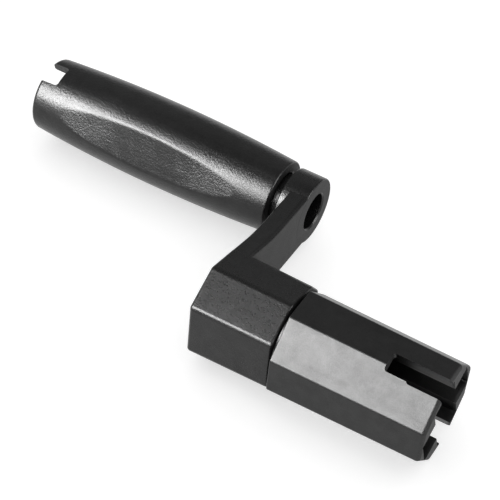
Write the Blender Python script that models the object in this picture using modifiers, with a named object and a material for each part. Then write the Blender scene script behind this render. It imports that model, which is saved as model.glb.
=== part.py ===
"""A hand-cranked string winder for guitar and bass machine heads, moulded in black plastic.

Frame, in metres: +X runs along the socket's axis towards its open mouth, +Y runs along the
crank arm towards the grip's axis, and +Z is square to both, so that +Z is up when the winder
lies on a table. The origin is the middle of the underside of the whole winder's bounding box.
The dimensions below are measured from a datum on the socket's axis, in the plane of the arm's
outer face; one empty carries every piece from that datum to the origin.
"""

import math

import bmesh
import bpy

MM = 0.001

# Crank arm and the eye that carries the grip
THROW = 41.0 * MM            # socket axis to grip axis
ARM_THICK = 5.3 * MM
ARM_HALF_WIDTH = 7.83 * MM
EYE_RADIUS = 9.0 * MM
COLLAR_LENGTH = 2.0 * MM     # how far the eye stands out behind the arm
EYE_BORE_RADIUS = 4.89 * MM
EYE_BORE_LEAD = 0.35 * MM

# Hub at the arm's other end: (y, z) of its corners on the +Z side
HUB_CORNERS = ((-10.8 * MM, 7.3 * MM), (-1.4 * MM, 13.0 * MM), (8.7 * MM, 10.5 * MM), (12.5 * MM, 6.0 * MM))
HUB_FRONT = 16.5 * MM
HUB_DRAFT = 0.011            # the outline is larger by this share at the back, smaller at the front
FLARE_BLEND = 6.0 * MM       # length of the curve between the flare and the arm's straight side
SETBACK = 0.03 * MM          # the arm's faces lie this far inside the hub's and the eye's

# Hollow axle under the grip, moulded with the eye
AXLE_RADIUS = 6.4 * MM
AXLE_END = -36.0 * MM
BARB_RADIUS = 7.1 * MM
BARB_LENGTH = 2.6 * MM
BARB_SLIT = 2.0 * MM
BARB_SLIT_LENGTH = 9.0 * MM

# Grip: a hollow barrel
GRIP_NEAR = -9.2 * MM
GRIP_FAR = -79.9 * MM
GRIP_END_RADIUS = 9.78 * MM
GRIP_MID_RADIUS = 11.17 * MM
GRIP_ROUND = 1.1 * MM
GRIP_BEARING_RADIUS = 6.7 * MM
GRIP_BORE_RADIUS = 7.5 * MM
GRIP_SHOULDER = -33.0 * MM
GRIP_FLAT_APOTHEM = 10.22 * MM
GRIP_FLAT_ANGLE = 159.0      # degrees from +Y towards +Z
NOTCH_ANGLE = 104.5
NOTCH_WIDTH = 6.2 * MM
NOTCH_DEPTH = 5.2 * MM
NOTCH_FILLET = 0.9 * MM

# Socket: an octagonal tube with a cross-shaped mouth
SOCKET_BACK = 17.4 * MM
SOCKET_FRONT = 57.0 * MM
SOCKET_BACK_APOTHEM = 12.8 * MM
SOCKET_FRONT_APOTHEM = 12.36 * MM
SOCKET_FACE_SHARE = 0.38     # half width of a face square to Y or Z, over its distance from the axis
SOCKET_EDGE = 0.55 * MM
SOCKET_RIM_EDGE = 1.05 * MM
SLOT_ANGLE = 112.5           # degrees from +Y towards +Z, on a corner of the octagon
SLOT_UPPER = -3.9 * MM      # walls of a side slot, from the plane through that corner and the axis
SLOT_LOWER = 1.2 * MM
SLOT_LOWER_WIDE = 1.65 * MM
SLOT_DEPTH = 14.6 * MM
SLOT_WIDE_DEPTH = 9.0 * MM   # the outer part of a slot, where its lower wall steps back
MOUTH_DEPTH = 24.0 * MM
LONG_CHANNEL_WIDTH = 9.2 * MM    # the channel across the slots, closed at both ends
LONG_CHANNEL_REACH = 10.9 * MM
SHORT_CHANNEL_WIDTH = 9.6 * MM   # the channel that the slots open into
SHORT_CHANNEL_REACH = 9.9 * MM
SHOULDER_RADIUS = 11.7 * MM      # round register between socket and hub

# Keyed stub that holds the socket
STUB_SIDE = 10.0 * MM
STUB_END = 30.0 * MM
FIT_GAP = 0.3 * MM

TURN_STEPS = 64


def clear_scene():
    for obj in list(bpy.data.objects):
        bpy.data.objects.remove(obj, do_unlink=True)


def new_collection(name):
    collection = bpy.data.collections.new(name)
    bpy.context.scene.collection.children.link(collection)
    return collection


def plastic(name, shade, roughness):
    material = bpy.data.materials.new(name)
    material.use_nodes = True
    shader = material.node_tree.nodes["Principled BSDF"]
    shader.inputs["Base Color"].default_value = (shade, shade, shade, 1.0)
    shader.inputs["Roughness"].default_value = roughness
    shader.inputs["Metallic"].default_value = 0.0
    return material


def add_mesh(name, bm, collection):
    mesh = bpy.data.meshes.new(name)
    bm.to_mesh(mesh)
    bm.free()
    obj = bpy.data.objects.new(name, mesh)
    collection.objects.link(obj)
    return obj


def lay_along_x(obj, x=0.0, y=0.0):
    """Turns a piece drawn in its local XY plane so that its local axes lie along +Y, +Z and +X."""
    obj.rotation_euler = (math.pi / 2, 0.0, math.pi / 2)
    obj.location = (x, y, 0.0)


def bevel(obj, width, segments=2, angle=30.0):
    modifier = obj.modifiers.new("Rounded edges", "BEVEL")
    modifier.width = width
    modifier.segments = segments
    modifier.limit_method = "ANGLE"
    modifier.angle_limit = math.radians(angle)
    modifier.use_clamp_overlap = True
    return modifier


def apply_modifiers(obj):
    """Replaces the object's mesh by its evaluated one, so that Booleans come after its bevels."""
    graph = bpy.context.evaluated_depsgraph_get()
    mesh = bpy.data.meshes.new_from_object(obj.evaluated_get(graph))
    old = obj.data
    obj.modifiers.clear()
    obj.data = mesh
    mesh.name = obj.name
    if isinstance(old, bpy.types.Mesh) and old.users == 0:
        bpy.data.meshes.remove(old)


def face_outwards(obj):
    bm = bmesh.new()
    bm.from_mesh(obj.data)
    bmesh.ops.recalc_face_normals(bm, faces=bm.faces)
    bm.to_mesh(obj.data)
    bm.free()


def edge_prism(obj, sides, front, segments=3):
    """Rounds a prism's edges by sides, and the outline of its front face by front."""
    bm = bmesh.new()
    bm.from_mesh(obj.data)
    weight = bm.edges.layers.float.new("bevel_weight_edge")
    top = max(v.co.z for v in bm.verts)
    for edge in bm.edges:
        at_front = all(v.co.z > top - 1e-6 for v in edge.verts)
        edge[weight] = 1.0 if at_front else sides / front
    bm.to_mesh(obj.data)
    bm.free()
    modifier = bevel(obj, front, segments)
    modifier.limit_method = "WEIGHT"


def taper(obj, back_share, front_share):
    """Moulding draft: scales the outline of a prism at its back and at its front."""
    for vertex in obj.data.vertices:
        share = front_share if vertex.co.z > 0.0 else back_share
        vertex.co.x *= share
        vertex.co.y *= share


def prism(name, outline, back, front, collection):
    """A straight prism along +X from an outline of (y, z) points, made as a filled flat curve."""
    curve = bpy.data.curves.new(name, "CURVE")
    curve.dimensions = "2D"
    curve.fill_mode = "BOTH"
    curve.extrude = (front - back) / 2
    spline = curve.splines.new("POLY")
    spline.points.add(len(outline) - 1)
    for point, (y, z) in zip(spline.points, outline):
        point.co = (y, z, 0.0, 1.0)
    spline.use_cyclic_u = True
    drawn = bpy.data.objects.new(name + "_outline", curve)
    collection.objects.link(drawn)
    bpy.context.view_layer.update()
    graph = bpy.context.evaluated_depsgraph_get()
    mesh = bpy.data.meshes.new_from_object(drawn.evaluated_get(graph))
    bpy.data.objects.remove(drawn, do_unlink=True)
    bm = bmesh.new()
    bm.from_mesh(mesh)
    bpy.data.meshes.remove(mesh)
    bmesh.ops.remove_doubles(bm, verts=bm.verts, dist=1e-6)
    bmesh.ops.dissolve_limit(bm, angle_limit=math.radians(0.5), verts=bm.verts, edges=bm.edges)
    bmesh.ops.recalc_face_normals(bm, faces=bm.faces)
    obj = add_mesh(name, bm, collection)
    lay_along_x(obj, x=(back + front) / 2)
    return obj


def cylinder(name, radius, back, front, collection, y=0.0):
    bm = bmesh.new()
    bmesh.ops.create_cone(
        bm, cap_ends=True, segments=TURN_STEPS, radius1=radius, radius2=radius, depth=front - back
    )
    obj = add_mesh(name, bm, collection)
    lay_along_x(obj, x=(back + front) / 2, y=y)
    return obj


def box(name, size, centre, collection):
    bm = bmesh.new()
    bmesh.ops.create_cube(bm, size=1.0)
    bmesh.ops.scale(bm, vec=size, verts=bm.verts)
    obj = add_mesh(name, bm, collection)
    obj.location = centre
    return obj


def turned(name, profile, y, collection):
    """A turned body from (x, radius) points: once round its section, or from axis to axis."""
    bm = bmesh.new()
    ring = [bm.verts.new((radius, 0.0, x)) for x, radius in profile]
    following = ring[1:] if profile[0][1] == 0.0 else ring[1:] + ring[:1]
    for first, second in zip(ring, following):
        bm.edges.new((first, second))
    obj = add_mesh(name, bm, collection)
    screw = obj.modifiers.new("Turn", "SCREW")
    screw.axis = "Z"
    screw.steps = TURN_STEPS
    screw.render_steps = TURN_STEPS
    screw.use_merge_vertices = True
    screw.merge_threshold = 0.00001
    apply_modifiers(obj)
    face_outwards(obj)
    lay_along_x(obj, y=y)
    return obj


def boolean(target, other, operation):
    modifier = target.modifiers.new(operation.title() + " " + other.name, "BOOLEAN")
    modifier.operation = operation
    modifier.object = other
    modifier.solver = "EXACT"
    other.hide_render = True
    other.display_type = "WIRE"


def smooth(obj, angle=32.0):
    obj.data.shade_smooth()
    obj.data.set_sharp_from_angle(angle=math.radians(angle))


def mirrored(points):
    """An outline closed by its mirror image below z = 0."""
    return list(points) + [(y, -z) for y, z in reversed(points)]


def blend(before, corner, after, length, steps=6):
    """A smooth curve that replaces a corner, starting and ending length away from it."""
    def towards(end):
        dy, dz = end[0] - corner[0], end[1] - corner[1]
        reach = length / math.hypot(dy, dz)
        return corner[0] + dy * reach, corner[1] + dz * reach

    start, end = towards(before), towards(after)
    points = []
    for i in range(steps + 1):
        t = i / steps
        points.append(tuple(
            (1 - t) ** 2 * start[k] + 2 * t * (1 - t) * corner[k] + t * t * end[k] for k in (0, 1)
        ))
    return points


def arm_outline():
    """The arm seen along X: a flare that starts inside the hub, then straight sides into the eye."""
    slope = (HUB_CORNERS[2][1] - HUB_CORNERS[1][1]) / (HUB_CORNERS[2][0] - HUB_CORNERS[1][0])
    root = (0.5 * MM, HUB_CORNERS[1][1] + slope * (0.5 * MM - HUB_CORNERS[1][0]) + 0.02 * MM)
    waist = (root[0] + (ARM_HALF_WIDTH - root[1]) / slope, ARM_HALF_WIDTH)
    tip = (THROW, ARM_HALF_WIDTH)
    return mirrored([root] + blend(root, waist, tip, FLARE_BLEND) + [tip])


def axle_profile():
    """The hollow axle from its root in the eye to the barb at its free end."""
    root = -ARM_THICK - COLLAR_LENGTH + 1.0 * MM
    barb = AXLE_END + BARB_LENGTH
    inside = EYE_BORE_RADIUS + 0.1 * MM
    return [
        (root, inside), (root, AXLE_RADIUS), (barb, AXLE_RADIUS), (barb - 0.35 * MM, BARB_RADIUS),
        (barb - 0.9 * MM, BARB_RADIUS), (AXLE_END, AXLE_RADIUS - 0.5 * MM), (AXLE_END, inside),
    ]


def bore_profile():
    """The eye's bore, chamfered at the outer face."""
    lead = EYE_BORE_LEAD
    start = -ARM_THICK - COLLAR_LENGTH - 1.0 * MM
    return [(start, 0.0), (start, EYE_BORE_RADIUS), (-lead, EYE_BORE_RADIUS),
            (lead, EYE_BORE_RADIUS + 2 * lead), (lead, 0.0)]


def build_axle(cutters):
    """The axle with the two crossed slits that let its barb spring inwards."""
    axle = turned("axle_tube", axle_profile(), THROW, cutters)
    for i, angle in enumerate((math.pi / 4, 3 * math.pi / 4)):
        slit = box("barb_slit_%d" % i, (BARB_SLIT_LENGTH, BARB_SLIT, 4 * BARB_RADIUS),
                   (AXLE_END + BARB_SLIT_LENGTH / 2 - 1.0 * MM, THROW, 0.0), cutters)
        slit.rotation_euler = (angle, 0.0, 0.0)
        boolean(axle, slit, "DIFFERENCE")
    apply_modifiers(axle)
    return axle


def build_crank(parts, cutters):
    back = -ARM_THICK
    crank = prism("crank", arm_outline(), back + SETBACK, -SETBACK, parts)
    bevel(crank, 0.7 * MM, 3, 25.0)
    apply_modifiers(crank)

    hub = prism("hub_block", mirrored(HUB_CORNERS), back, HUB_FRONT, cutters)
    taper(hub, 1.0 + HUB_DRAFT, 1.0 - HUB_DRAFT)
    bevel(hub, 0.6 * MM, 3, 20.0)
    apply_modifiers(hub)
    boolean(crank, hub, "UNION")

    eye = cylinder("eye_boss", EYE_RADIUS, back - COLLAR_LENGTH, 0.0, cutters, y=THROW)
    bevel(eye, 0.5 * MM, 3, 40.0)
    apply_modifiers(eye)
    boolean(crank, eye, "UNION")

    length = STUB_END - HUB_FRONT + 3.0 * MM
    stub = box("stub_block", (length, STUB_SIDE, STUB_SIDE), (STUB_END - length / 2, 0.0, 0.0), cutters)
    bevel(stub, 1.0 * MM, 2, 40.0)
    apply_modifiers(stub)
    boolean(crank, stub, "UNION")

    boolean(crank, turned("eye_bore", bore_profile(), THROW, cutters), "DIFFERENCE")
    boolean(crank, build_axle(cutters), "UNION")
    return crank


def grip_radius(x):
    """Outer radius of the barrel: widest half way, as a parabola."""
    t = (x - GRIP_FAR) / (GRIP_NEAR - GRIP_FAR)
    return GRIP_END_RADIUS + 4 * (GRIP_MID_RADIUS - GRIP_END_RADIUS) * t * (1 - t)


def grip_profile():
    """(x, radius) once round the wall: near end, bearing, shoulder, bore, far end, outer barrel."""
    inner = [
        (GRIP_NEAR, GRIP_BEARING_RADIUS + 0.5 * MM), (GRIP_NEAR - 0.5 * MM, GRIP_BEARING_RADIUS),
        (GRIP_SHOULDER, GRIP_BEARING_RADIUS), (GRIP_SHOULDER, GRIP_BORE_RADIUS),
        (GRIP_FAR + 0.5 * MM, GRIP_BORE_RADIUS), (GRIP_FAR, GRIP_BORE_RADIUS + 0.35 * MM),
    ]
    outer = []
    for i in range(5):
        turn = math.pi / 2 * i / 4
        outer.append((GRIP_FAR + GRIP_ROUND * (1 - math.sin(turn)),
                      grip_radius(GRIP_FAR + GRIP_ROUND) - GRIP_ROUND * (1 - math.cos(turn))))
    outer.reverse()
    count = 26
    start, end = GRIP_FAR + GRIP_ROUND, GRIP_NEAR - GRIP_ROUND
    barrel = [(start + (end - start) * i / count, grip_radius(start + (end - start) * i / count))
              for i in range(1, count)]
    near = []
    for i in range(5):
        turn = math.pi / 2 * i / 4
        near.append((end + GRIP_ROUND * math.sin(turn), grip_radius(end) - GRIP_ROUND * (1 - math.cos(turn))))
    far = [(x, r) for x, r in sorted(outer)]
    return inner + far + barrel + near


def build_grip(parts, cutters):
    grip = turned("grip", grip_profile(), THROW, parts)
    middle = (GRIP_NEAR + GRIP_FAR) / 2
    for i, angle in enumerate((GRIP_FLAT_ANGLE, GRIP_FLAT_ANGLE + 180.0)):
        turn = math.radians(angle)
        reach = GRIP_FLAT_APOTHEM + 5.0 * MM
        flat = box("grip_flat_%d" % i, (90.0 * MM, 10.0 * MM, 40.0 * MM),
                   (middle, THROW + reach * math.cos(turn), reach * math.sin(turn)), cutters)
        flat.rotation_euler = (turn, 0.0, 0.0)
        boolean(grip, flat, "DIFFERENCE")
    turn = math.radians(NOTCH_ANGLE)
    length = NOTCH_DEPTH + 6.0 * MM
    notch = box("pin_notch", (length, 10.0 * MM, NOTCH_WIDTH),
                (GRIP_FAR + NOTCH_DEPTH - length / 2, THROW + 8.5 * MM * math.cos(turn), 8.5 * MM * math.sin(turn)),
                cutters)
    notch.rotation_euler = (turn, 0.0, 0.0)
    round_notch(notch)
    boolean(grip, notch, "DIFFERENCE")
    return grip


def round_notch(notch):
    """Rounds the two inner corners of the notch, the edges that run along the wall's depth."""
    bm = bmesh.new()
    bm.from_mesh(notch.data)
    edges = [e for e in bm.edges
             if all(v.co.x > 0 for v in e.verts) and abs(e.verts[0].co.y - e.verts[1].co.y) > 1e-4]
    bmesh.ops.bevel(bm, geom=edges, offset=NOTCH_FILLET, segments=5, affect="EDGES", profile=0.5)
    bm.to_mesh(notch.data)
    bm.free()


def octagon(apothem):
    """An eight-sided outline whose four slanting faces are a little wider than the others."""
    half = SOCKET_FACE_SHARE * apothem
    right = [(apothem, -half), (apothem, half), (half, apothem)]
    left = [(-half, apothem), (-apothem, half), (-apothem, -half)]
    return right + left + [(-half, -apothem), (half, -apothem)]


def channel(name, width, reach, back, front, angle, cutters):
    """A straight channel across the socket's mouth, turned to the angle given."""
    cut = box(name, (front - back, 2 * reach, width), ((back + front) / 2, 0.0, 0.0), cutters)
    bevel(cut, 0.5 * MM, 2, 40.0)
    cut.rotation_euler = (math.radians(angle), 0.0, 0.0)
    apply_modifiers(cut)
    return cut


def side_slot(name, angle, lower, depth, cutters):
    """A straight slot out through one corner of the octagon, open at the front."""
    turn = math.radians(angle)
    length = depth + 4.0 * MM
    reach = 6.0 * MM
    outside = 20.0 * MM
    cut = box(name, (length, outside - reach, lower - SLOT_UPPER), (0.0, 0.0, 0.0), cutters)
    for vertex in cut.data.vertices:
        vertex.co.y += (outside + reach) / 2
        vertex.co.z += (lower + SLOT_UPPER) / 2
    cut.location = (SOCKET_FRONT - depth + length / 2, 0.0, 0.0)
    cut.rotation_euler = (turn, 0.0, 0.0)
    return cut


def build_socket(parts, cutters):
    socket = prism("socket", octagon(SOCKET_FRONT_APOTHEM), SOCKET_BACK, SOCKET_FRONT, parts)
    taper(socket, SOCKET_BACK_APOTHEM / SOCKET_FRONT_APOTHEM, 1.0)
    edge_prism(socket, SOCKET_EDGE, SOCKET_RIM_EDGE)
    apply_modifiers(socket)

    register = cylinder("socket_register", SHOULDER_RADIUS, HUB_FRONT + FIT_GAP, SOCKET_BACK + 2.0 * MM, cutters)
    boolean(socket, register, "UNION")

    floor = SOCKET_FRONT - MOUTH_DEPTH
    past = SOCKET_FRONT + 4.0 * MM
    narrow = SLOT_DEPTH, SLOT_LOWER
    wide = SLOT_WIDE_DEPTH, SLOT_LOWER_WIDE
    slots = [
        side_slot("side_slot_%s_%d" % (label, i), SLOT_ANGLE + 180.0 * i, lower, depth, cutters)
        for i in (0, 1)
        for label, (depth, lower) in (("narrow", narrow), ("wide", wide))
    ]
    for cut in [
        channel("short_channel", SHORT_CHANNEL_WIDTH, SHORT_CHANNEL_REACH, floor, past, SLOT_ANGLE, cutters),
        channel("long_channel", LONG_CHANNEL_WIDTH, LONG_CHANNEL_REACH, floor, past, SLOT_ANGLE + 90.0, cutters),
    ] + slots:
        boolean(socket, cut, "DIFFERENCE")

    side = STUB_SIDE + 2 * FIT_GAP
    pocket_end = STUB_END + 0.7 * MM
    pocket_back = HUB_FRONT - 2.0 * MM
    pocket = box("stub_pocket", (pocket_end - pocket_back, side, side),
                 ((pocket_end + pocket_back) / 2, 0.0, 0.0), cutters)
    boolean(socket, pocket, "DIFFERENCE")
    return socket


def stand_on_origin(parts, cutters):
    """Carries every piece by one empty, so that the origin is under the middle of the winder."""
    datum = bpy.data.objects.new("datum", None)
    parts.objects.link(datum)
    bpy.context.view_layer.update()
    graph = bpy.context.evaluated_depsgraph_get()
    corners = []
    for piece in parts.objects:
        if piece.type == "MESH":
            seen = piece.evaluated_get(graph)
            corners += [seen.matrix_world @ vertex.co for vertex in seen.data.vertices]
    low = [min(corner[k] for corner in corners) for k in range(3)]
    high = [max(corner[k] for corner in corners) for k in range(3)]
    datum.location = (-(low[0] + high[0]) / 2, -(low[1] + high[1]) / 2, -low[2])
    for piece in list(parts.objects) + list(cutters.objects):
        if piece is not datum and piece.parent is None:
            piece.parent = datum


def main():
    clear_scene()
    parts = new_collection("String winder")
    cutters = new_collection("Cutters")
    black = plastic("Black moulded plastic", 0.018, 0.42)
    satin = plastic("Black satin plastic", 0.022, 0.38)
    for piece, material in (
        (build_crank(parts, cutters), black),
        (build_grip(parts, cutters), satin),
        (build_socket(parts, cutters), black),
    ):
        smooth(piece)
        piece.data.materials.clear()
        piece.data.materials.append(material)
    stand_on_origin(parts, cutters)


main()
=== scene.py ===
"""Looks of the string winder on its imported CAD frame: black plastic mouldings, studio and camera."""

import math

import bmesh
import bpy
from mathutils import Matrix, Vector


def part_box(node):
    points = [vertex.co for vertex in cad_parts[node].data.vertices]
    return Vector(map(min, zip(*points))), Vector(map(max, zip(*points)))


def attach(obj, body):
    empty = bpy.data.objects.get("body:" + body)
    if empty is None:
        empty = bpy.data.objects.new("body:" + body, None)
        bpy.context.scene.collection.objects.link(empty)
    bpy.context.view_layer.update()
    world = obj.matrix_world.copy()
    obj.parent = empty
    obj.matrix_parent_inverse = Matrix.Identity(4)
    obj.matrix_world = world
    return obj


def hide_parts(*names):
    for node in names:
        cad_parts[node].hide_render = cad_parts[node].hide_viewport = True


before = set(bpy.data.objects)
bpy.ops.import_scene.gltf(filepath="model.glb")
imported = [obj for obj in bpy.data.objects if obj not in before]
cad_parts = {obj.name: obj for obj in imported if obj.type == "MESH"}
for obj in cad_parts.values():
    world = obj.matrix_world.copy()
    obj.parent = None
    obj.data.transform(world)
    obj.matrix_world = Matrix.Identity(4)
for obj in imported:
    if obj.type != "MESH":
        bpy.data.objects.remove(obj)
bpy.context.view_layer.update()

MM = 0.001

# Dimensions from a datum on the socket's axis, in the plane of the arm's outer face
THROW = 41.0 * MM
ARM_THICK = 5.3 * MM
ARM_HALF_WIDTH = 7.83 * MM
EYE_RADIUS = 9.0 * MM
COLLAR_LENGTH = 2.0 * MM
EYE_BORE_RADIUS = 4.89 * MM
EYE_BORE_LEAD = 0.35 * MM
EYE_EDGE = 0.5 * MM
ARM_EDGE = 0.7 * MM
ARM_RIM_EDGE = 0.45 * MM
ARM_INSET = 0.03 * MM             # keeps the arm's faces off the hub's and the eye's
SEAM_RIDGE = 0.10 * MM            # how far the mould's seam stands out
SEAM_BACK = -1.35 * MM
SEAM_FRONT = -1.05 * MM
HUB_CORNERS = ((-10.8 * MM, 7.3 * MM), (-1.4 * MM, 13.0 * MM), (8.7 * MM, 10.5 * MM), (12.5 * MM, 6.0 * MM))
HUB_FRONT = 16.5 * MM
HUB_DRAFT = 0.011
HUB_EDGE = 0.85 * MM
HUB_RIM_EDGE = 0.55 * MM
FLARE_BLEND = 6.0 * MM
AXLE_RADIUS = 6.4 * MM
AXLE_END = -36.0 * MM
BARB_RADIUS = 7.1 * MM
BARB_LENGTH = 2.6 * MM
BARB_SLIT = 2.0 * MM
BARB_SLIT_LENGTH = 9.0 * MM
GRIP_NEAR = -9.2 * MM
GRIP_FAR = -79.9 * MM
GRIP_END_RADIUS = 9.78 * MM
GRIP_MID_RADIUS = 11.17 * MM
GRIP_ROUND = 1.1 * MM
GRIP_NEAR_ROUND = 0.6 * MM
GRIP_BEARING_RADIUS = 6.7 * MM
GRIP_BORE_RADIUS = 7.5 * MM
GRIP_SHOULDER = -33.0 * MM
GRIP_FLAT_APOTHEM = 10.0 * MM     # half way along; the flats rise slightly towards their tips
GRIP_FLAT_RISE = 0.36 * MM        # at this distance from half way:
GRIP_FLAT_RUN = 24.0 * MM
GRIP_MIDDLE = (GRIP_NEAR + GRIP_FAR) / 2
GRIP_FLAT_ANGLE = 159.0
GRIP_FLAT_SOFTNESS = 0.22 * MM
GRIP_CUT_EDGE = 0.16 * MM
GRIP_STEPS = 240
GRIP_RINGS = 120
NOTCH_ANGLE = 104.5
NOTCH_WIDTH = 6.2 * MM
NOTCH_DEPTH = 5.2 * MM
NOTCH_FILLET = 0.9 * MM
SOCKET_BACK = 17.4 * MM
SOCKET_FRONT = 57.0 * MM
SOCKET_BACK_APOTHEM = 12.8 * MM
SOCKET_FRONT_APOTHEM = 12.36 * MM
SOCKET_FACE_SHARE = 0.38     # half width of a face square to Y or Z, over its distance from the axis
SOCKET_EDGE = 0.4 * MM
SOCKET_RIM_EDGE = 1.05 * MM
SLOT_ANGLE = 112.5
SLOT_UPPER = -3.9 * MM
SLOT_LOWER = 1.2 * MM
SLOT_LOWER_WIDE = 1.65 * MM
SLOT_DEPTH = 14.6 * MM
SLOT_WIDE_DEPTH = 9.0 * MM
SLOT_CORNER = 0.7 * MM
MOUTH_DEPTH = 24.0 * MM
LONG_CHANNEL = (9.2 * MM, 10.9 * MM)
SHORT_CHANNEL = (9.6 * MM, 9.9 * MM)
SHOULDER_RADIUS = 11.2 * MM
SOCKET_CUT_EDGE = 0.2 * MM
CHANNEL_CORNER = 0.5 * MM
STUB_SIDE = 10.0 * MM
STUB_EDGE = 1.0 * MM
STUB_END = 30.0 * MM
FIT_GAP = 0.3 * MM
TURN_STEPS = 144
END_FACE_ROUGHNESS = 0.62

# Camera: its place from the datum, its turn about X, Y and Z, and its lens
CAMERA_PLACE = Vector((125.91, -251.31, 298.96)) * MM
CAMERA_TURN = (45.106, -4.405, 30.369)
CAMERA_LENS = 124.54

# How bright the studio's surroundings are, by the sine of the height above the horizon
WORLD_GLOW = ((0.0, 0.30), (0.35, 0.26), (0.68, 0.52), (0.95, 0.22))

# Lamps: name, place, width, height, power, and whether reflections show it
LIGHTS = (
    ("softbox_near_grip", (-0.64, -0.70, 0.56), 0.50, 0.58, 44.0, True),
    ("softbox_near_socket", (-0.12, -0.825, 0.552), 0.56, 0.56, 19.0, True),
    ("edge_light", (0.86, 0.12, 0.50), 0.62, 0.50, 8.5, True),
    ("overhead_fill", (0.0, 0.0, 1.6), 4.0, 4.0, 38.0, False),
)

# Floor: its diffuse tone and its own glow, which together render white
FLOOR_HALF_SIZE = 3.0
FLOOR_DROP = 0.2 * MM
FLOOR_TONE = 0.60
FLOOR_GLOW = 0.61

socket_low, socket_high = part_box("socket")
DATUM = Vector((socket_high.x - SOCKET_FRONT, (socket_low.y + socket_high.y) / 2,
                (socket_low.z + socket_high.z) / 2))


# ---------------------------------------------------------------- mesh making

def add_object(name, bm):
    mesh = bpy.data.meshes.new(name)
    bmesh.ops.recalc_face_normals(bm, faces=bm.faces)
    bm.to_mesh(mesh)
    bm.free()
    obj = bpy.data.objects.new(name, mesh)
    bpy.context.scene.collection.objects.link(obj)
    return obj


def apply_modifiers(obj):
    bpy.context.view_layer.update()
    graph = bpy.context.evaluated_depsgraph_get()
    mesh = bpy.data.meshes.new_from_object(obj.evaluated_get(graph))
    old = obj.data
    obj.modifiers.clear()
    obj.data = mesh
    bpy.data.meshes.remove(old)
    mesh.name = obj.name


def bevel(obj, width, segments, angle=30.0, weighted=False):
    modifier = obj.modifiers.new("Rounded edges", "BEVEL")
    modifier.width = width
    modifier.segments = segments
    modifier.limit_method = "WEIGHT" if weighted else "ANGLE"
    modifier.angle_limit = math.radians(angle)
    modifier.use_clamp_overlap = True


def combine(target, other, operation):
    """Boolean of two closed meshes; the second one is used up."""
    modifier = target.modifiers.new(operation.title(), "BOOLEAN")
    modifier.operation = operation
    modifier.object = other
    modifier.solver = "EXACT"
    apply_modifiers(target)
    bpy.data.objects.remove(other, do_unlink=True)


def prism(name, outline, back, front, back_share=1.0, front_share=1.0, sides=0.0, rim=0.0, segments=4):
    """A prism along X from (y, z) points, with moulding draft; sides and rim round its edges."""
    bm = bmesh.new()
    rings = []
    for x, share in ((back, back_share), (front, front_share)):
        rings.append([bm.verts.new((x, y * share, z * share)) for y, z in outline])
    bm.faces.new(rings[0])
    bm.faces.new(list(reversed(rings[1])))
    count = len(outline)
    for i in range(count):
        j = (i + 1) % count
        bm.faces.new((rings[0][j], rings[0][i], rings[1][i], rings[1][j]))
    if sides:
        bmesh.ops.recalc_face_normals(bm, faces=bm.faces)
        bm.normal_update()
        weight = bm.edges.layers.float.new("bevel_weight_edge")
        for edge in bm.edges:
            if edge.calc_face_angle() < math.radians(20):
                continue
            at_front = all(abs(v.co.x - front) < 1e-7 for v in edge.verts)
            edge[weight] = (rim if at_front else sides) / max(sides, rim)
    obj = add_object(name, bm)
    if sides:
        bevel(obj, max(sides, rim), segments, weighted=True)
        apply_modifiers(obj)
    return obj


def turned(name, profile, y=0.0, closed=True, steps=TURN_STEPS):
    """A turned body about a line along X, from (x, radius) points."""
    bm = bmesh.new()
    rings = []
    for x, radius in profile:
        if radius == 0.0:
            rings.append([bm.verts.new((x, y, 0.0))])
            continue
        rings.append([bm.verts.new((x, y + radius * math.cos(2 * math.pi * i / steps),
                                    radius * math.sin(2 * math.pi * i / steps))) for i in range(steps)])
    pairs = list(zip(rings, rings[1:]))
    if closed:
        pairs.append((rings[-1], rings[0]))
    for first, second in pairs:
        for i in range(steps):
            j = (i + 1) % steps
            corners = [first[i % len(first)], first[j % len(first)],
                       second[j % len(second)], second[i % len(second)]]
            kept = []
            for corner in corners:
                if corner not in kept:
                    kept.append(corner)
            if len(kept) > 2:
                bm.faces.new(kept)
    return add_object(name, bm)


def box(name, low, high, turn=0.0, y=0.0, rounded=0.0, segments=3):
    """A box between two corners, turned about a line along X at y."""
    bm = bmesh.new()
    bmesh.ops.create_cube(bm, size=1.0)
    for vertex in bm.verts:
        for k in range(3):
            vertex.co[k] = high[k] if vertex.co[k] > 0 else low[k]
    if rounded:
        bmesh.ops.bevel(bm, geom=list(bm.edges), offset=rounded, segments=segments,
                        affect="EDGES", profile=0.5)
    bmesh.ops.rotate(bm, verts=bm.verts, matrix=Matrix.Rotation(math.radians(turn), 3, "X"))
    bmesh.ops.translate(bm, verts=bm.verts, vec=(0.0, y, 0.0))
    return add_object(name, bm)


def rounded_disc(name, radius, back, front, edge, y, steps=5):
    """A cylinder along X with both rims rounded."""
    profile = [(back, 0.0)]
    for i in range(steps + 1):
        a = math.pi / 2 * i / steps
        profile.append((back + edge * (1 - math.sin(a)), radius - edge * (1 - math.cos(a))))
    profile[1:] = sorted(profile[1:])
    for i in range(steps + 1):
        a = math.pi / 2 * i / steps
        profile.append((front - edge * (1 - math.sin(a)), radius - edge * (1 - math.cos(a))))
    middle = len(profile) - steps - 1
    profile[middle:] = sorted(profile[middle:])
    profile.append((front, 0.0))
    return turned(name, profile, y, closed=False)


def finish_piece(obj, origin, sharp=40.0, soften=0.0):
    """Rounds the cut edges, puts the piece's origin on its joint's axis, and shades it."""
    if soften:
        bevel(obj, soften, 2, 50.0)
        apply_modifiers(obj)
    obj.data.transform(Matrix.Translation(-origin))
    obj.location = DATUM + origin
    obj.data.shade_smooth()
    obj.data.set_sharp_from_angle(angle=math.radians(sharp))
    normals = obj.modifiers.new("Flat faces stay flat", "WEIGHTED_NORMAL")
    normals.keep_sharp = True
    return obj


# ---------------------------------------------------------------- crank

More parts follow.
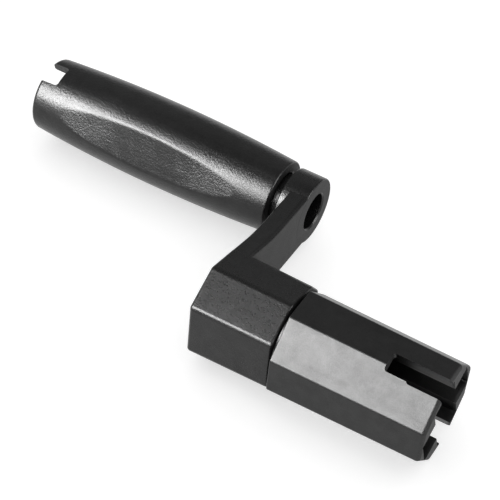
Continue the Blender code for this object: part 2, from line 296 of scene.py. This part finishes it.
def mirrored(points):
    return list(points) + [(y, -z) for y, z in reversed(points)]


def blend(before, corner, after, length, steps=14):
    def towards(end):
        dy, dz = end[0] - corner[0], end[1] - corner[1]
        reach = length / math.hypot(dy, dz)
        return corner[0] + dy * reach, corner[1] + dz * reach

    start, end = towards(before), towards(after)
    points = []
    for i in range(steps + 1):
        t = i / steps
        points.append(tuple(
            (1 - t) ** 2 * start[k] + 2 * t * (1 - t) * corner[k] + t * t * end[k] for k in (0, 1)
        ))
    return points


def arm_outline(extra=0.0):
    slope = (HUB_CORNERS[2][1] - HUB_CORNERS[1][1]) / (HUB_CORNERS[2][0] - HUB_CORNERS[1][0])
    root = (0.5 * MM, HUB_CORNERS[1][1] + slope * (0.5 * MM - HUB_CORNERS[1][0]) + 0.02 * MM + extra)
    half = ARM_HALF_WIDTH + extra
    waist = (root[0] + (half - root[1]) / slope, half)
    tip = (THROW, half)
    return mirrored([root] + blend(root, waist, tip, FLARE_BLEND) + [tip])


def build_crank():
    back = -ARM_THICK
    crank = prism("crank_moulding", arm_outline(), back + ARM_INSET, -ARM_INSET,
                  sides=ARM_EDGE, rim=ARM_RIM_EDGE)
    seam = prism("seam", arm_outline(SEAM_RIDGE), SEAM_BACK, SEAM_FRONT)
    combine(crank, seam, "UNION")
    hub = prism("hub", mirrored(HUB_CORNERS), back, HUB_FRONT, 1 + HUB_DRAFT, 1 - HUB_DRAFT,
                sides=HUB_EDGE, rim=HUB_RIM_EDGE, segments=6)
    combine(crank, hub, "UNION")
    eye = rounded_disc("eye", EYE_RADIUS, back - COLLAR_LENGTH, 0.0, EYE_EDGE, THROW)
    combine(crank, eye, "UNION")
    half = STUB_SIDE / 2
    stub = box("stub", (HUB_FRONT - 3.0 * MM, -half, -half), (STUB_END, half, half), rounded=STUB_EDGE)
    combine(crank, stub, "UNION")
    lead = EYE_BORE_LEAD
    start = back - COLLAR_LENGTH - 1.0 * MM
    bore = turned("bore", [(start, 0.0), (start, EYE_BORE_RADIUS), (-lead, EYE_BORE_RADIUS),
                           (lead, EYE_BORE_RADIUS + 2 * lead), (lead, 0.0)], THROW, closed=False)
    combine(crank, bore, "DIFFERENCE")
    combine(crank, build_axle(), "UNION")
    return finish_piece(crank, Vector((0.0, 0.0, 0.0)), sharp=35.0)


def build_axle():
    root = -ARM_THICK - COLLAR_LENGTH + 1.0 * MM
    barb = AXLE_END + BARB_LENGTH
    inside = EYE_BORE_RADIUS + 0.1 * MM
    axle = turned("axle", [
        (root, inside), (root, AXLE_RADIUS), (barb, AXLE_RADIUS), (barb - 0.35 * MM, BARB_RADIUS),
        (barb - 0.9 * MM, BARB_RADIUS), (AXLE_END, AXLE_RADIUS - 0.5 * MM), (AXLE_END, inside),
    ], THROW)
    for angle in (45.0, 135.0):
        half = BARB_SLIT / 2
        start = AXLE_END - 1.0 * MM
        slit = box("slit", (start, -half, -2 * BARB_RADIUS),
                   (start + BARB_SLIT_LENGTH, half, 2 * BARB_RADIUS),
                   turn=angle, y=THROW)
        combine(axle, slit, "DIFFERENCE")
    return axle


# ---------------------------------------------------------------- grip

def grip_radius(x):
    t = (x - GRIP_FAR) / (GRIP_NEAR - GRIP_FAR)
    return GRIP_END_RADIUS + 4 * (GRIP_MID_RADIUS - GRIP_END_RADIUS) * t * (1 - t)


def soft_min(a, b, width):
    mix = max(width - abs(a - b), 0.0) / width
    return min(a, b) - mix * mix * width / 4


def grip_stations():
    """(x, radius, outside) once round the wall's section."""
    stations = [
        (GRIP_NEAR, GRIP_BEARING_RADIUS + 0.5 * MM, False),
        (GRIP_NEAR - 0.5 * MM, GRIP_BEARING_RADIUS, False),
        (GRIP_SHOULDER, GRIP_BEARING_RADIUS, False), (GRIP_SHOULDER, GRIP_BORE_RADIUS, False),
        (GRIP_FAR + 0.5 * MM, GRIP_BORE_RADIUS, False), (GRIP_FAR, GRIP_BORE_RADIUS + 0.35 * MM, False),
    ]
    start, end = GRIP_FAR + GRIP_ROUND, GRIP_NEAR - GRIP_NEAR_ROUND
    for i in range(9):
        a = math.pi / 2 * (1 - i / 8)
        stations.append((start - GRIP_ROUND * math.sin(a),
                         grip_radius(start) - GRIP_ROUND * (1 - math.cos(a)), True))
    for i in range(1, GRIP_RINGS):
        x = start + (end - start) * i / GRIP_RINGS
        stations.append((x, grip_radius(x), True))
    for i in range(9):
        a = math.pi / 2 * i / 8
        edge = GRIP_NEAR_ROUND
        stations.append((end + edge * math.sin(a), grip_radius(end) - edge * (1 - math.cos(a)), True))
    return stations


def build_grip():
    steps = GRIP_STEPS
    bm = bmesh.new()
    rings = []
    for x, radius, outside in grip_stations():
        apothem = GRIP_FLAT_APOTHEM + GRIP_FLAT_RISE * ((x - GRIP_MIDDLE) / GRIP_FLAT_RUN) ** 2
        ring = []
        for i in range(steps):
            angle = 2 * math.pi * i / steps
            reach = radius
            if outside:
                for flat in (GRIP_FLAT_ANGLE, GRIP_FLAT_ANGLE + 180.0):
                    lean = math.cos(angle - math.radians(flat))
                    if lean > 0.3:
                        reach = soft_min(reach, apothem / lean, GRIP_FLAT_SOFTNESS)
            ring.append(bm.verts.new((x, THROW + reach * math.cos(angle), reach * math.sin(angle))))
        rings.append(ring)
    for first, second in zip(rings, rings[1:] + rings[:1]):
        for i in range(steps):
            j = (i + 1) % steps
            bm.faces.new((first[i], first[j], second[j], second[i]))
    grip = add_object("grip_barrel", bm)
    notch = prism("notch", notch_outline(), 4.0 * MM, 14.0 * MM)
    swap = Matrix(((0, 1, 0, 0), (1, 0, 0, 0), (0, 0, -1, 0), (0, 0, 0, 1)))
    turn = Matrix.Rotation(math.radians(NOTCH_ANGLE), 4, "X")
    notch.data.transform(Matrix.Translation((0.0, THROW, 0.0)) @ turn @ swap)
    combine(grip, notch, "DIFFERENCE")
    return finish_piece(grip, Vector((GRIP_NEAR, THROW, 0.0)), sharp=40.0, soften=GRIP_CUT_EDGE)


def notch_outline():
    """(x, width) points of the U-shaped notch, with rounded inner corners."""
    half = NOTCH_WIDTH / 2
    inner = GRIP_FAR + NOTCH_DEPTH
    points = [(GRIP_FAR - 3.0 * MM, -half)]
    for side in (-1, 1):
        for i in range(9):
            a = math.pi / 2 * (i / 8 if side < 0 else 1 - i / 8)
            points.append((inner - NOTCH_FILLET * (1 - math.sin(a)),
                           side * (half - NOTCH_FILLET * (1 - math.cos(a)))))
    points.append((GRIP_FAR - 3.0 * MM, half))
    return points


# ---------------------------------------------------------------- socket

def octagon(apothem):
    """An eight-sided outline whose four slanting faces are a little wider than the others."""
    half = SOCKET_FACE_SHARE * apothem
    right = [(apothem, -half), (apothem, half), (half, apothem)]
    left = [(-half, apothem), (-apothem, half), (-apothem, -half)]
    return right + left + [(-half, -apothem), (half, -apothem)]


def build_socket():
    share = SOCKET_BACK_APOTHEM / SOCKET_FRONT_APOTHEM
    socket = prism("socket_head", octagon(SOCKET_FRONT_APOTHEM), SOCKET_BACK, SOCKET_FRONT, share, 1.0,
                   sides=SOCKET_EDGE, rim=SOCKET_RIM_EDGE, segments=5)
    back = HUB_FRONT + FIT_GAP
    inside = SOCKET_BACK + 2.0 * MM
    register = turned("register", [(back, 0.0), (back, SHOULDER_RADIUS), (inside, SHOULDER_RADIUS),
                                   (inside, 0.0)], closed=False)
    combine(socket, register, "UNION")
    floor = SOCKET_FRONT - MOUTH_DEPTH
    past = SOCKET_FRONT + 4.0 * MM
    for (width, reach), turn in ((SHORT_CHANNEL, SLOT_ANGLE), (LONG_CHANNEL, SLOT_ANGLE + 90.0)):
        cut = box("channel", (floor, -reach, -width / 2), (past, reach, width / 2), turn,
                  rounded=CHANNEL_CORNER)
        combine(socket, cut, "DIFFERENCE")
    for turn in (SLOT_ANGLE, SLOT_ANGLE + 180.0):
        for depth, lower in ((SLOT_DEPTH, SLOT_LOWER), (SLOT_WIDE_DEPTH, SLOT_LOWER_WIDE)):
            cut = box("slot", (SOCKET_FRONT - depth, 6.0 * MM, SLOT_UPPER), (past, 20.0 * MM, lower), turn,
                      rounded=SLOT_CORNER)
            combine(socket, cut, "DIFFERENCE")
    half = STUB_SIDE / 2 + FIT_GAP
    pocket = box("pocket", (HUB_FRONT - 2.0 * MM, -half, -half), (STUB_END + 0.7 * MM, half, half))
    combine(socket, pocket, "DIFFERENCE")
    return finish_piece(socket, Vector((SOCKET_BACK, 0.0, 0.0)), sharp=35.0, soften=SOCKET_CUT_EDGE)


# ---------------------------------------------------------------- materials

class Nodes:
    """Adds shader nodes to one material."""

    def __init__(self, name):
        self.material = bpy.data.materials.new(name)
        self.material.use_nodes = True
        self.tree = self.material.node_tree
        self.shader = self.tree.nodes["Principled BSDF"]
        self.coordinates = self.add("ShaderNodeTexCoord")
        self.place = self.coordinates.outputs["Object"]

    def add(self, kind, **values):
        node = self.tree.nodes.new(kind)
        for key, value in values.items():
            setattr(node, key, value)
        return node

    def put(self, socket, value):
        if isinstance(value, bpy.types.NodeSocket):
            self.tree.links.new(value, socket)
        else:
            socket.default_value = value

    def math(self, operation, first, second=0.0, clamp=False):
        node = self.add("ShaderNodeMath", operation=operation, use_clamp=clamp)
        self.put(node.inputs[0], first)
        self.put(node.inputs[1], second)
        return node.outputs[0]

    def noise(self, scale, detail=3.0, roughness=0.5, stretch=None):
        place = self.place
        if stretch:
            mapping = self.add("ShaderNodeMapping")
            self.put(mapping.inputs["Vector"], place)
            mapping.inputs["Scale"].default_value = stretch
            place = mapping.outputs[0]
        node = self.add("ShaderNodeTexNoise")
        self.put(node.inputs["Vector"], place)
        node.inputs["Scale"].default_value = scale
        node.inputs["Detail"].default_value = detail
        node.inputs["Roughness"].default_value = roughness
        return node.outputs["Fac"]

    def span(self, value, low, high, to_low, to_high):
        node = self.add("ShaderNodeMapRange")
        self.put(node.inputs["Value"], value)
        for key, number in (("From Min", low), ("From Max", high), ("To Min", to_low), ("To Max", to_high)):
            node.inputs[key].default_value = number
        return node.outputs[0]

    def mix(self, share, first, second):
        """Between two numbers or sockets by a share."""
        node = self.add("ShaderNodeMix", data_type="FLOAT")
        self.put(node.inputs[0], share)
        self.put(node.inputs[2], first)
        self.put(node.inputs[3], second)
        return node.outputs[0]

    def bump(self, height, strength, distance, normal=None):
        node = self.add("ShaderNodeBump")
        self.put(node.inputs["Height"], height)
        self.put(node.inputs["Strength"], strength)
        node.inputs["Distance"].default_value = distance
        if normal:
            self.put(node.inputs["Normal"], normal)
        return node.outputs[0]

    def dot(self, direction):
        node = self.add("ShaderNodeVectorMath", operation="DOT_PRODUCT")
        self.put(node.inputs[0], self.place)
        node.inputs[1].default_value = direction
        return node.outputs["Value"]


def plastic(name, shade, smooth_roughness, grain_roughness, grain_share, grain_size, grain_depth):
    """Black moulded plastic: grained where grain_share is 1, smooth with faint ripples where it is 0."""
    n = Nodes(name)
    share = grain_share(n) if callable(grain_share) else grain_share
    cells = n.noise(1.0 / grain_size, detail=2.0, roughness=0.55)
    fine = n.noise(2.3 / grain_size, detail=1.0)
    ripples = n.noise(160.0, detail=2.0)
    scratches = n.noise(900.0, detail=2.0, stretch=(0.06, 1.0, 1.0))
    patches = n.noise(55.0, detail=3.0)
    smooth = n.math("ADD", smooth_roughness, n.span(scratches, 0.45, 0.75, 0.0, 0.07))
    smooth = n.math("ADD", smooth, n.span(patches, 0.3, 0.7, -0.02, 0.03))
    grained = n.math("ADD", grain_roughness, n.span(cells, 0.3, 0.7, -0.06, 0.08))
    moulded = n.mix(share, smooth, grained)
    facing = n.add("ShaderNodeVectorMath", operation="DOT_PRODUCT")
    n.put(facing.inputs[0], n.coordinates.outputs["Normal"])
    facing.inputs[1].default_value = (1.0, 0.0, 0.0)
    end_face = n.span(facing.outputs["Value"], 0.85, 0.97, 0.0, 1.0)
    n.put(n.shader.inputs["Roughness"], n.mix(end_face, moulded, END_FACE_ROUGHNESS))
    tone = n.math("MULTIPLY", shade, n.span(patches, 0.3, 0.7, 0.85, 1.2))
    tone = n.math("MULTIPLY", tone, n.mix(share, 1.0, n.span(fine, 0.3, 0.7, 0.8, 1.6)))
    colour = n.add("ShaderNodeCombineColor")
    for channel in ("Red", "Green", "Blue"):
        n.put(colour.inputs[channel], tone)
    n.put(n.shader.inputs["Base Color"], colour.outputs[0])
    n.shader.inputs["IOR"].default_value = 1.40
    clouds = n.noise(300.0, detail=4.0, roughness=0.65)
    sheen = n.math("ADD", n.span(clouds, 0.3, 0.7, 0.43, 0.56), n.span(fine, 0.3, 0.7, -0.06, 0.06))
    n.put(n.shader.inputs["Specular IOR Level"], sheen)
    height = n.math("ADD", cells, n.math("MULTIPLY", fine, 0.45))
    normal = n.bump(ripples, 0.25, 0.02 * MM)
    n.put(n.shader.inputs["Normal"], n.bump(height, n.mix(share, 0.04, 1.0), grain_depth, normal))
    return n.material


def flats_of_the_grip(n):
    """1 on the two almond-shaped flats, 0 on the barrel, from the distance to the flats' planes."""
    turn = math.radians(GRIP_FLAT_ANGLE)
    reach = n.math("ABSOLUTE", n.dot((0.0, math.cos(turn), math.sin(turn))))
    from_middle = n.math("SUBTRACT", n.dot((1.0, 0.0, 0.0)), GRIP_MIDDLE - GRIP_NEAR)
    along = n.math("DIVIDE", from_middle, GRIP_FLAT_RUN)
    ends = n.math("MULTIPLY", along, along)
    plane = n.math("ADD", n.math("MULTIPLY", ends, GRIP_FLAT_RISE), GRIP_FLAT_APOTHEM)
    flat = n.span(n.math("SUBTRACT", reach, plane), -0.10 * MM, -0.03 * MM, 0.0, 1.0)
    worn = n.math("ADD", n.span(ends, 0.1, 0.7, 0.34, 1.0), n.span(n.noise(180.0), 0.4, 0.7, -0.12, 0.12))
    return n.math("MAXIMUM", n.math("MULTIPLY", flat, worn), 0.27)


def end_of_the_socket(n):
    """1 on the matt rim round the mouth, low on the glossier sides."""
    reach = n.dot((1.0, 0.0, 0.0))
    front = SOCKET_FRONT - SOCKET_BACK
    return n.span(reach, front - 0.9 * MM, front - 0.1 * MM, 0.22, 1.0)


# ---------------------------------------------------------------- pieces on the frame

crank_plastic = plastic("crank_plastic", 0.005, 0.25, 0.30, 0.60, 0.34 * MM, 0.060 * MM)
grip_plastic = plastic("grip_plastic", 0.005, 0.26, 0.42, flats_of_the_grip, 0.52 * MM, 0.21 * MM)
socket_plastic = plastic("socket_plastic", 0.005, 0.26, 0.62, end_of_the_socket, 0.36 * MM, 0.045 * MM)

for build, node, material in (
    (build_crank, "crank", crank_plastic),
    (build_grip, "grip", grip_plastic),
    (build_socket, "socket", socket_plastic),
):
    piece = build()
    piece.data.materials.clear()
    piece.data.materials.append(material)
    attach(piece, node)
    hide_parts(node)


# ---------------------------------------------------------------- studio

def area_light(name, place, width, height, power, seen):
    """A soft rectangular light that faces the origin: seen in reflections, or only lighting the floor."""
    light = bpy.data.lights.new(name, "AREA")
    light.shape = "RECTANGLE"
    light.size = width
    light.size_y = height
    light.energy = power
    lamp = bpy.data.objects.new(name, light)
    bpy.context.scene.collection.objects.link(lamp)
    lamp.location = place
    lamp.rotation_euler = (-Vector(place)).to_track_quat("-Z", "Y").to_euler()
    lamp.visible_glossy = seen
    lamp.visible_diffuse = not seen


def build_floor():
    bm = bmesh.new()
    bmesh.ops.create_grid(bm, x_segments=1, y_segments=1, size=FLOOR_HALF_SIZE)
    floor = add_object("floor", bm)
    floor.location = (0.0, 0.0, -FLOOR_DROP)
    n = Nodes("pale_floor")
    n.put(n.shader.inputs["Base Color"], (FLOOR_TONE, FLOOR_TONE, FLOOR_TONE, 1.0))
    n.put(n.shader.inputs["Emission Color"], (1.0, 1.0, 1.0, 1.0))
    n.put(n.shader.inputs["Emission Strength"], FLOOR_GLOW)
    n.put(n.shader.inputs["Roughness"], n.span(n.noise(40.0), 0.3, 0.7, 0.8, 0.9))
    n.shader.inputs["Specular IOR Level"].default_value = 0.0
    floor.data.materials.append(n.material)


def build_world():
    world = bpy.data.worlds.new("studio")
    bpy.context.scene.world = world
    world.use_nodes = True
    tree = world.node_tree
    background = tree.nodes["Background"]
    place = tree.nodes.new("ShaderNodeTexCoord")
    split = tree.nodes.new("ShaderNodeSeparateXYZ")
    ramp = tree.nodes.new("ShaderNodeValToRGB")
    stops = ramp.color_ramp.elements
    for index, (height, glow) in enumerate(WORLD_GLOW):
        stop = stops[index] if index < 2 else stops.new(height)
        stop.position = height
        stop.color = (glow, glow, glow, 1.0)
    tree.links.new(place.outputs["Generated"], split.inputs[0])
    tree.links.new(split.outputs["Z"], ramp.inputs[0])
    tree.links.new(ramp.outputs[0], background.inputs["Color"])


def build_camera():
    camera = bpy.data.objects.new("camera", bpy.data.cameras.new("camera"))
    bpy.context.scene.collection.objects.link(camera)
    camera.location = DATUM + CAMERA_PLACE
    camera.rotation_euler = [math.radians(angle) for angle in CAMERA_TURN]
    camera.data.lens = CAMERA_LENS
    camera.data.sensor_width = 36.0
    camera.data.clip_start = 0.01
    bpy.context.scene.camera = camera


build_floor()
build_world()
build_camera()
for lamp_settings in LIGHTS:
    area_light(*lamp_settings)
bpy.context.scene.view_settings.view_transform = "Standard"
